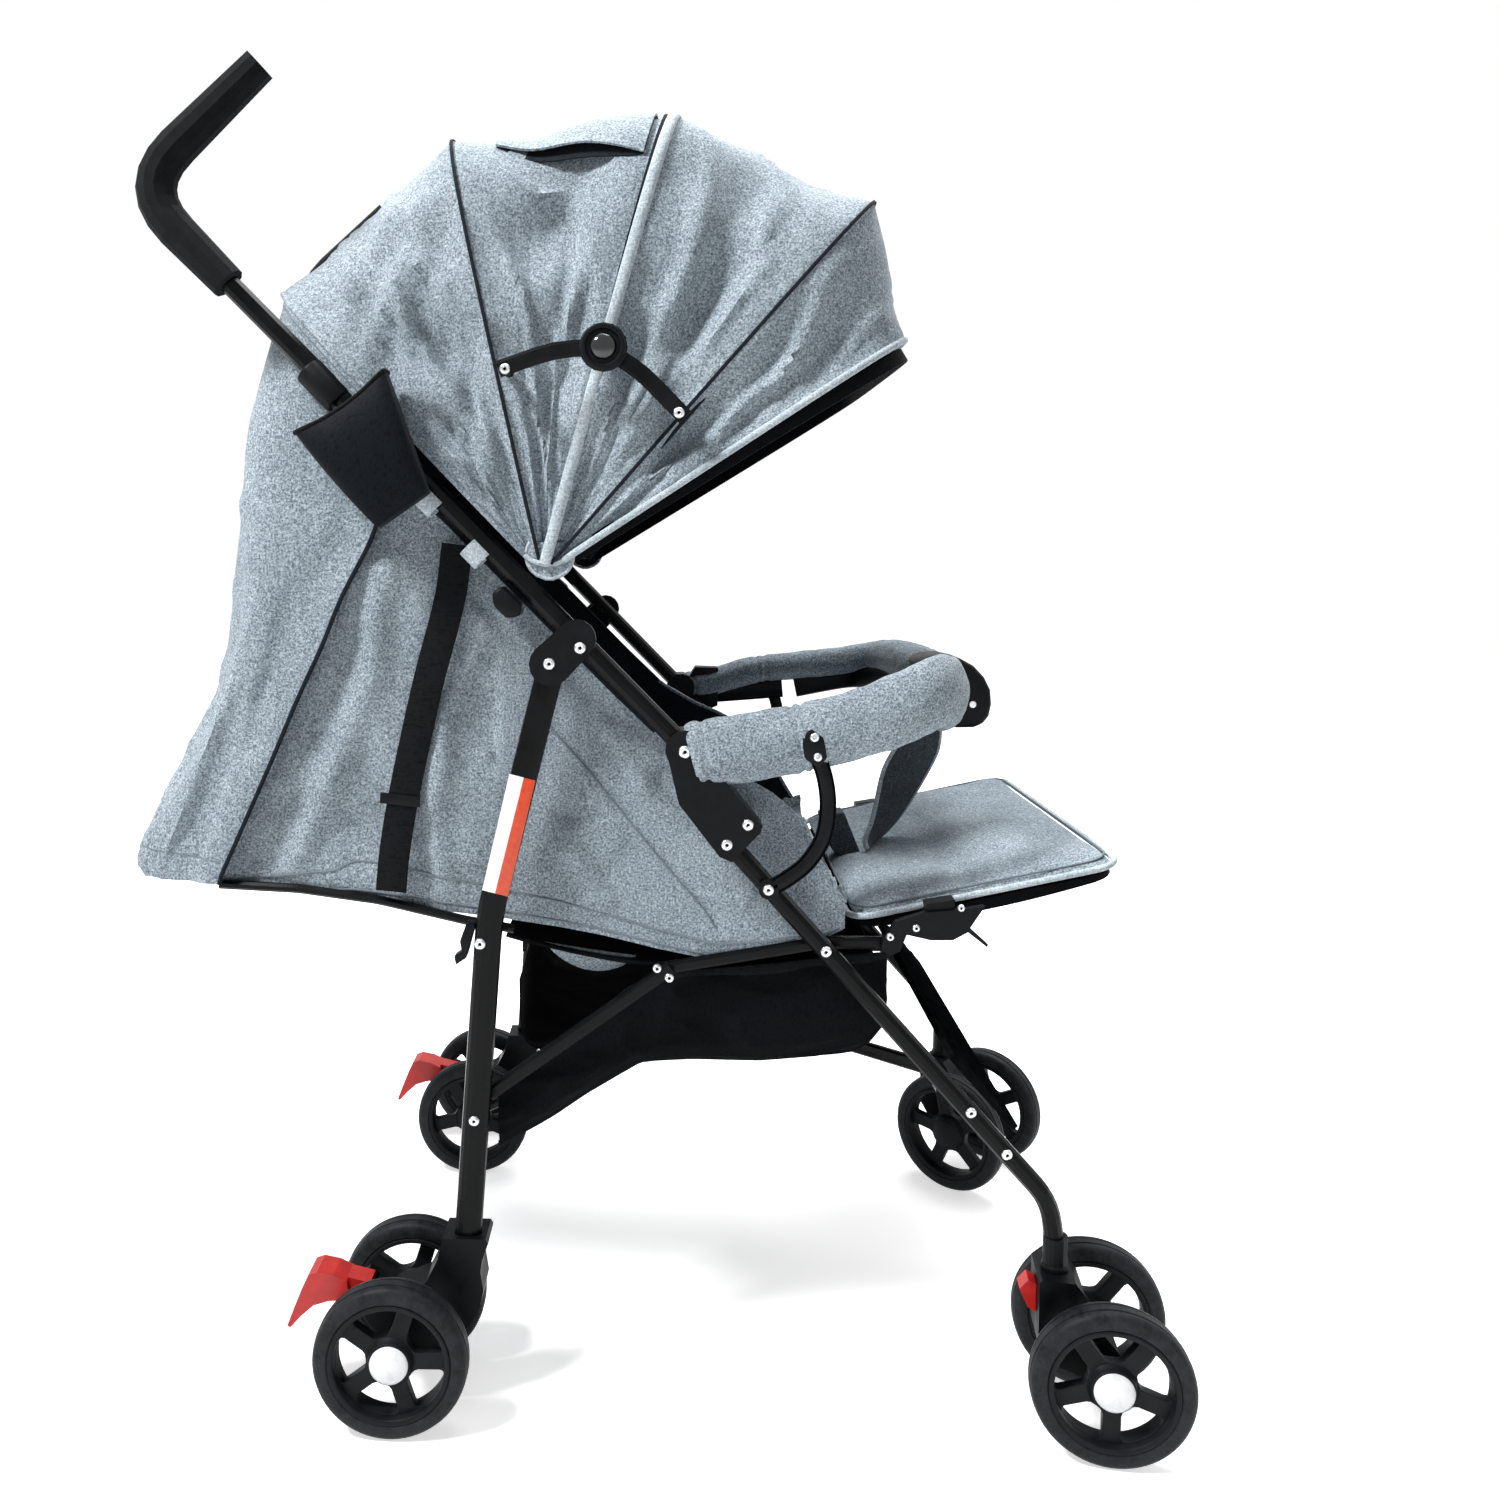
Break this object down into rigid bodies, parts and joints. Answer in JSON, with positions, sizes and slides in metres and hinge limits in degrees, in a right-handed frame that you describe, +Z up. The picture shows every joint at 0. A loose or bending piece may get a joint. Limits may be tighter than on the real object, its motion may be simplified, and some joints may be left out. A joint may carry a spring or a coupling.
{
  "type": "lightweight stroller",
  "caption": "Folding umbrella stroller with lie-flat seat, hood, bumper bar, basket and double swivel casters",
  "frame": {"origin": "on the floor, under the middle of the object's box", "axes": "+Z up, +X the way the child faces and the stroller rolls, +Y the child's left"},
  "size_m": [0.8546, 0.5184, 1.0541],
  "materials": {
    "tube": "gloss black powder coat on steel tube",
    "moulding": "black injection moulding, satin",
    "foam": "black closed-cell foam",
    "tyre": "hard black foam tyre on a black spoked hub",
    "red": "red injection moulding",
    "cloth": "light grey heather cloth",
    "charcoal_cloth": "dark grey heather cloth",
    "black_cloth": "black woven cloth and webbing"
  },
  "bodies": {
    "right_frame": {"handle_tube_right": "tube", "grip_right": "foam", "side_plate_right": "moulding", "upper_hinge_right": "moulding", "front_leg_right": "tube", "front_foot_right": "moulding", "armrest_right": "cloth", "recline_strap_right": "black_cloth", "seat": "cloth", "curtain": "cloth", "canopy": "cloth", "basket": "black_cloth", "pouch": "charcoal_cloth", "crotch_strap": "charcoal_cloth", "footrest": "moulding"},
    "left_frame": {"handle_tube_left": "tube", "grip_left": "foam", "side_plate_left": "moulding", "upper_hinge_left": "moulding", "front_leg_left": "tube", "front_foot_left": "moulding", "armrest_left": "cloth", "recline_strap_left": "black_cloth"},
    "right_rear_leg": {"rear_leg_right": "tube", "rear_housing_right": "moulding"},
    "right_pedal": {"brake_pedal_right": "red"},
    "rear_wheel_outer_right": {"rear_wheel_outer_right": "tyre"},
    "rear_wheel_inner_right": {"rear_wheel_inner_right": "tyre"},
    "right_caster": {"caster_fork_right": "moulding"},
    "front_wheel_outer_right": {"front_wheel_outer_right": "tyre"},
    "front_wheel_inner_right": {"front_wheel_inner_right": "tyre"},
    "right_lock": {"swivel_lock_right": "red"},
    "right_rail": {"seat_rail_right": "tube"},
    "right_strut": {"strut_right": "tube"},
    "right_bar": {"floor_bar_right": "tube"},
    "right_bumper": {"bumper_right": "cloth"},
    "right_stretcher_rear": {"stretcher_rear_right": "moulding"},
    "right_stretcher_front": {"stretcher_front_right": "moulding"},
    "left_rear_leg": {"rear_leg_left": "tube", "rear_housing_left": "moulding"},
    "left_pedal": {"brake_pedal_left": "red"},
    "rear_wheel_outer_left": {"rear_wheel_outer_left": "tyre"},
    "rear_wheel_inner_left": {"rear_wheel_inner_left": "tyre"},
    "left_caster": {"caster_fork_left": "moulding"},
    "front_wheel_outer_left": {"front_wheel_outer_left": "tyre"},
    "front_wheel_inner_left": {"front_wheel_inner_left": "tyre"},
    "left_lock": {"swivel_lock_left": "red"},
    "left_rail": {"seat_rail_left": "tube"},
    "left_strut": {"strut_left": "tube"},
    "left_bar": {"floor_bar_left": "tube"},
    "left_bumper": {"bumper_left": "cloth"},
    "left_stretcher_rear": {"stretcher_rear_left": "moulding"},
    "left_stretcher_front": {"stretcher_front_left": "moulding"},
    "canopy_front": {"canopy_bow_front": "moulding"},
    "leg_rest": {"leg_rest": "cloth", "ratchet_right": "moulding"},
    "left_ratchet": {"ratchet_left": "moulding"},
    "backrest": {"backrest": "cloth", "back_tube_right": "tube"},
    "left_back_tube": {"back_tube_left": "tube"}
  },
  "joints": [
    {"name": "fold", "type": "hinge", "parent": "right_frame", "child": "right_rear_leg", "pos_m": [-0.07628, -0.19473, 0.593], "axis": [0, -1, 0], "range_deg": [0, 37], "deforming": ["seat", "backrest", "curtain", "canopy", "canopy_bow_front", "basket", "crotch_strap", "footrest", "leg_rest"]},
    {"name": "brake_right", "type": "hinge", "parent": "right_rear_leg", "child": "right_pedal", "pos_m": [-0.22428, -0.19093, 0.089], "axis": [0, -1, 0], "range_deg": [0, 16]},
    {"name": "spin_rear_wheel_outer_right", "type": "hinge", "parent": "right_rear_leg", "child": "rear_wheel_outer_right", "pos_m": [-0.19328, -0.23483, 0.06], "axis": [0, 1, 0], "continuous": true},
    {"name": "spin_rear_wheel_inner_right", "type": "hinge", "parent": "right_rear_leg", "child": "rear_wheel_inner_right", "pos_m": [-0.19328, -0.14703, 0.06], "axis": [0, 1, 0], "continuous": true},
    {"name": "swivel_right", "type": "hinge", "parent": "right_frame", "child": "right_caster", "pos_m": [0.32272, -0.19333, 0.12], "axis": [0, 0, 1], "continuous": true},
    {"name": "spin_front_wheel_outer_right", "type": "hinge", "parent": "right_caster", "child": "front_wheel_outer_right", "pos_m": [0.35157, -0.24135, 0.06], "axis": [0.1288, 0.9917, 0], "continuous": true},
    {"name": "spin_front_wheel_inner_right", "type": "hinge", "parent": "right_caster", "child": "front_wheel_inner_right", "pos_m": [0.36288, -0.15428, 0.06], "axis": [0.1288, 0.9917, 0], "continuous": true},
    {"name": "lock_right", "type": "hinge", "parent": "right_caster", "child": "right_lock", "pos_m": [0.30804, -0.19143, 0.109], "axis": [0.1288, 0.9917, 0], "range_deg": [0, 14]},
    {"name": "rail_right", "type": "hinge", "parent": "right_frame", "child": "right_rail", "pos_m": [0.13895, -0.17473, 0.37017], "axis": [0, 1, 0], "range_deg": [0, 60], "deforming": ["seat", "backrest", "curtain", "canopy", "canopy_bow_front", "basket", "crotch_strap", "footrest", "leg_rest"]},
    {"name": "strut_right", "type": "hinge", "parent": "right_rear_leg", "child": "right_strut", "pos_m": [-0.12128, -0.18323, 0.248], "axis": [0, -1, 0], "range_deg": [0, 60], "deforming": ["seat", "backrest", "curtain", "canopy", "canopy_bow_front", "basket", "crotch_strap", "footrest", "leg_rest"]},
    {"name": "bar_right", "type": "hinge", "parent": "right_frame", "child": "right_bar", "pos_m": [0.23069, -0.16373, 0.26449], "axis": [0.5649, 0.6465, 0.5127], "range_deg": [0, 64], "deforming": ["seat", "backrest", "curtain", "canopy", "canopy_bow_front", "basket", "crotch_strap", "footrest", "leg_rest"]},
    {"name": "bumper_right", "type": "hinge", "parent": "right_frame", "child": "right_bumper", "pos_m": [0.15172, -0.19773, 0.5475], "axis": [0, 0, -1], "range_deg": [0, 41], "deforming": ["seat", "backrest", "curtain", "canopy", "canopy_bow_front", "basket", "crotch_strap", "footrest", "leg_rest"]},
    {"name": "close_left", "type": "slide", "parent": "right_frame", "child": "left_frame", "axis": [0, -1, 0], "range_m": [0, 0.21], "deforming": ["seat", "backrest", "curtain", "canopy", "canopy_bow_front", "basket", "crotch_strap", "footrest", "leg_rest"]},
    {"name": "fold_left", "type": "hinge", "parent": "left_frame", "child": "left_rear_leg", "pos_m": [-0.07628, 0.20527, 0.593], "axis": [0, -1, 0], "range_deg": [0, 37], "deforming": ["seat", "backrest", "curtain", "canopy", "canopy_bow_front", "basket", "crotch_strap", "footrest", "leg_rest"]},
    {"name": "brake_left", "type": "hinge", "parent": "left_rear_leg", "child": "left_pedal", "pos_m": [-0.22428, 0.20147, 0.089], "axis": [0, -1, 0], "range_deg": [0, 16]},
    {"name": "spin_rear_wheel_outer_left", "type": "hinge", "parent": "left_rear_leg", "child": "rear_wheel_outer_left", "pos_m": [-0.19328, 0.24537, 0.06], "axis": [0, 1, 0], "continuous": true},
    {"name": "spin_rear_wheel_inner_left", "type": "hinge", "parent": "left_rear_leg", "child": "rear_wheel_inner_left", "pos_m": [-0.19328, 0.15757, 0.06], "axis": [0, 1, 0], "continuous": true},
    {"name": "swivel_left", "type": "hinge", "parent": "left_frame", "child": "left_caster", "pos_m": [0.32272, 0.20387, 0.12], "axis": [0, 0, 1], "continuous": true},
    {"name": "spin_front_wheel_outer_left", "type": "hinge", "parent": "left_caster", "child": "front_wheel_outer_left", "pos_m": [0.37767, 0.21474, 0.06], "axis": [0.6481, 0.7615, 0], "continuous": true},
    {"name": "spin_front_wheel_inner_left", "type": "hinge", "parent": "left_caster", "child": "front_wheel_inner_left", "pos_m": [0.32077, 0.14788, 0.06], "axis": [0.6481, 0.7615, 0], "continuous": true},
    {"name": "lock_left", "type": "hinge", "parent": "left_caster", "child": "left_lock", "pos_m": [0.31145, 0.21346, 0.109], "axis": [0.6481, 0.7615, 0], "range_deg": [0, 14]},
    {"name": "rail_left", "type": "hinge", "parent": "left_frame", "child": "left_rail", "pos_m": [0.13895, 0.18527, 0.37017], "axis": [0, 1, 0], "range_deg": [0, 60], "deforming": ["seat", "backrest", "curtain", "canopy", "canopy_bow_front", "basket", "crotch_strap", "footrest", "leg_rest"]},
    {"name": "strut_left", "type": "hinge", "parent": "left_rear_leg", "child": "left_strut", "pos_m": [-0.12128, 0.19377, 0.248], "axis": [0, -1, 0], "range_deg": [0, 60], "deforming": ["seat", "backrest", "curtain", "canopy", "canopy_bow_front", "basket", "crotch_strap", "footrest", "leg_rest"]},
    {"name": "bar_left", "type": "hinge", "parent": "left_frame", "child": "left_bar", "pos_m": [0.23069, 0.17427, 0.24749], "axis": [-0.5649, 0.6465, -0.5127], "range_deg": [0, 64], "deforming": ["seat", "backrest", "curtain", "canopy", "canopy_bow_front", "basket", "crotch_strap", "footrest", "leg_rest"]},
    {"name": "bumper_left", "type": "hinge", "parent": "left_frame", "child": "left_bumper", "pos_m": [0.15172, 0.20827, 0.5475], "axis": [0, 0, 1], "range_deg": [0, 41], "deforming": ["seat", "backrest", "curtain", "canopy", "canopy_bow_front", "basket", "crotch_strap", "footrest", "leg_rest"]},
    {"name": "canopy", "type": "hinge", "parent": "right_frame", "child": "canopy_front", "pos_m": [-0.08428, 0.00527, 0.662], "axis": [0, -1, 0], "range_deg": [0, 45], "deforming": ["canopy", "curtain"]},
    {"name": "stretch_rear_right", "type": "hinge", "parent": "right_frame", "child": "right_stretcher_rear", "pos_m": [-0.10928, -0.22773, 0.815], "axis": [0, -1, 0], "range_deg": [0, 100], "deforming": ["canopy"]},
    {"name": "stretch_front_right", "type": "hinge", "parent": "right_stretcher_rear", "child": "right_stretcher_front", "pos_m": [-0.03628, -0.22393, 0.83], "axis": [0, 1, 0], "range_deg": [0, 125], "deforming": ["canopy"]},
    {"name": "stretch_rear_left", "type": "hinge", "parent": "left_frame", "child": "left_stretcher_rear", "pos_m": [-0.10928, 0.23827, 0.815], "axis": [0, -1, 0], "range_deg": [0, 100], "deforming": ["canopy"]},
    {"name": "stretch_front_left", "type": "hinge", "parent": "left_stretcher_rear", "child": "left_stretcher_front", "pos_m": [-0.03628, 0.23447, 0.83], "axis": [0, 1, 0], "range_deg": [0, 125], "deforming": ["canopy"]},
    {"name": "leg_rest", "type": "hinge", "parent": "right_rail", "child": "leg_rest", "pos_m": [0.19072, -0.18323, 0.371], "axis": [0, 1, 0], "range_deg": [0, 50], "deforming": ["seat", "crotch_strap"]},
    {"name": "leg_rest_left", "type": "hinge", "parent": "left_rail", "child": "left_ratchet", "pos_m": [0.19072, 0.19377, 0.371], "axis": [0, 1, 0], "range_deg": [0, 50], "deforming": ["seat", "crotch_strap"]},
    {"name": "recline", "type": "hinge", "parent": "right_frame", "child": "backrest", "pos_m": [-0.10728, -0.17623, 0.377], "axis": [0, 1, 0], "range_deg": [0, 50], "deforming": ["seat", "curtain", "recline_strap_right", "recline_strap_left", "canopy"]},
    {"name": "recline_left", "type": "hinge", "parent": "left_frame", "child": "left_back_tube", "pos_m": [-0.10728, 0.18677, 0.377], "axis": [0, 1, 0], "range_deg": [0, 50], "deforming": ["seat", "curtain", "recline_strap_right", "recline_strap_left", "canopy"]}
  ],
  "couplings": [
    {"joint": "rail_right", "follows": "fold", "ratio": 1.2951},
    {"joint": "strut_right", "follows": "fold", "ratio": 0.99631},
    {"joint": "bar_right", "follows": "fold", "ratio": 1.6939},
    {"joint": "bumper_right", "follows": "fold", "ratio": 1.0811},
    {"joint": "close_left", "follows": "fold", "m_per_rad": 0.32519},
    {"joint": "fold_left", "follows": "fold", "ratio": 1},
    {"joint": "rail_left", "follows": "fold", "ratio": 1.2951},
    {"joint": "strut_left", "follows": "fold", "ratio": 0.99631},
    {"joint": "bar_left", "follows": "fold", "ratio": 1.6939},
    {"joint": "bumper_left", "follows": "fold", "ratio": 1.0811},
    {"joint": "stretch_rear_right", "follows": "canopy", "ratio": 2.1447},
    {"joint": "stretch_front_right", "follows": "canopy", "ratio": 2.6015},
    {"joint": "stretch_rear_left", "follows": "canopy", "ratio": 2.1447},
    {"joint": "stretch_front_left", "follows": "canopy", "ratio": 2.6015},
    {"joint": "leg_rest_left", "follows": "leg_rest", "ratio": 1},
    {"joint": "recline_left", "follows": "recline", "ratio": 1}
  ]
}
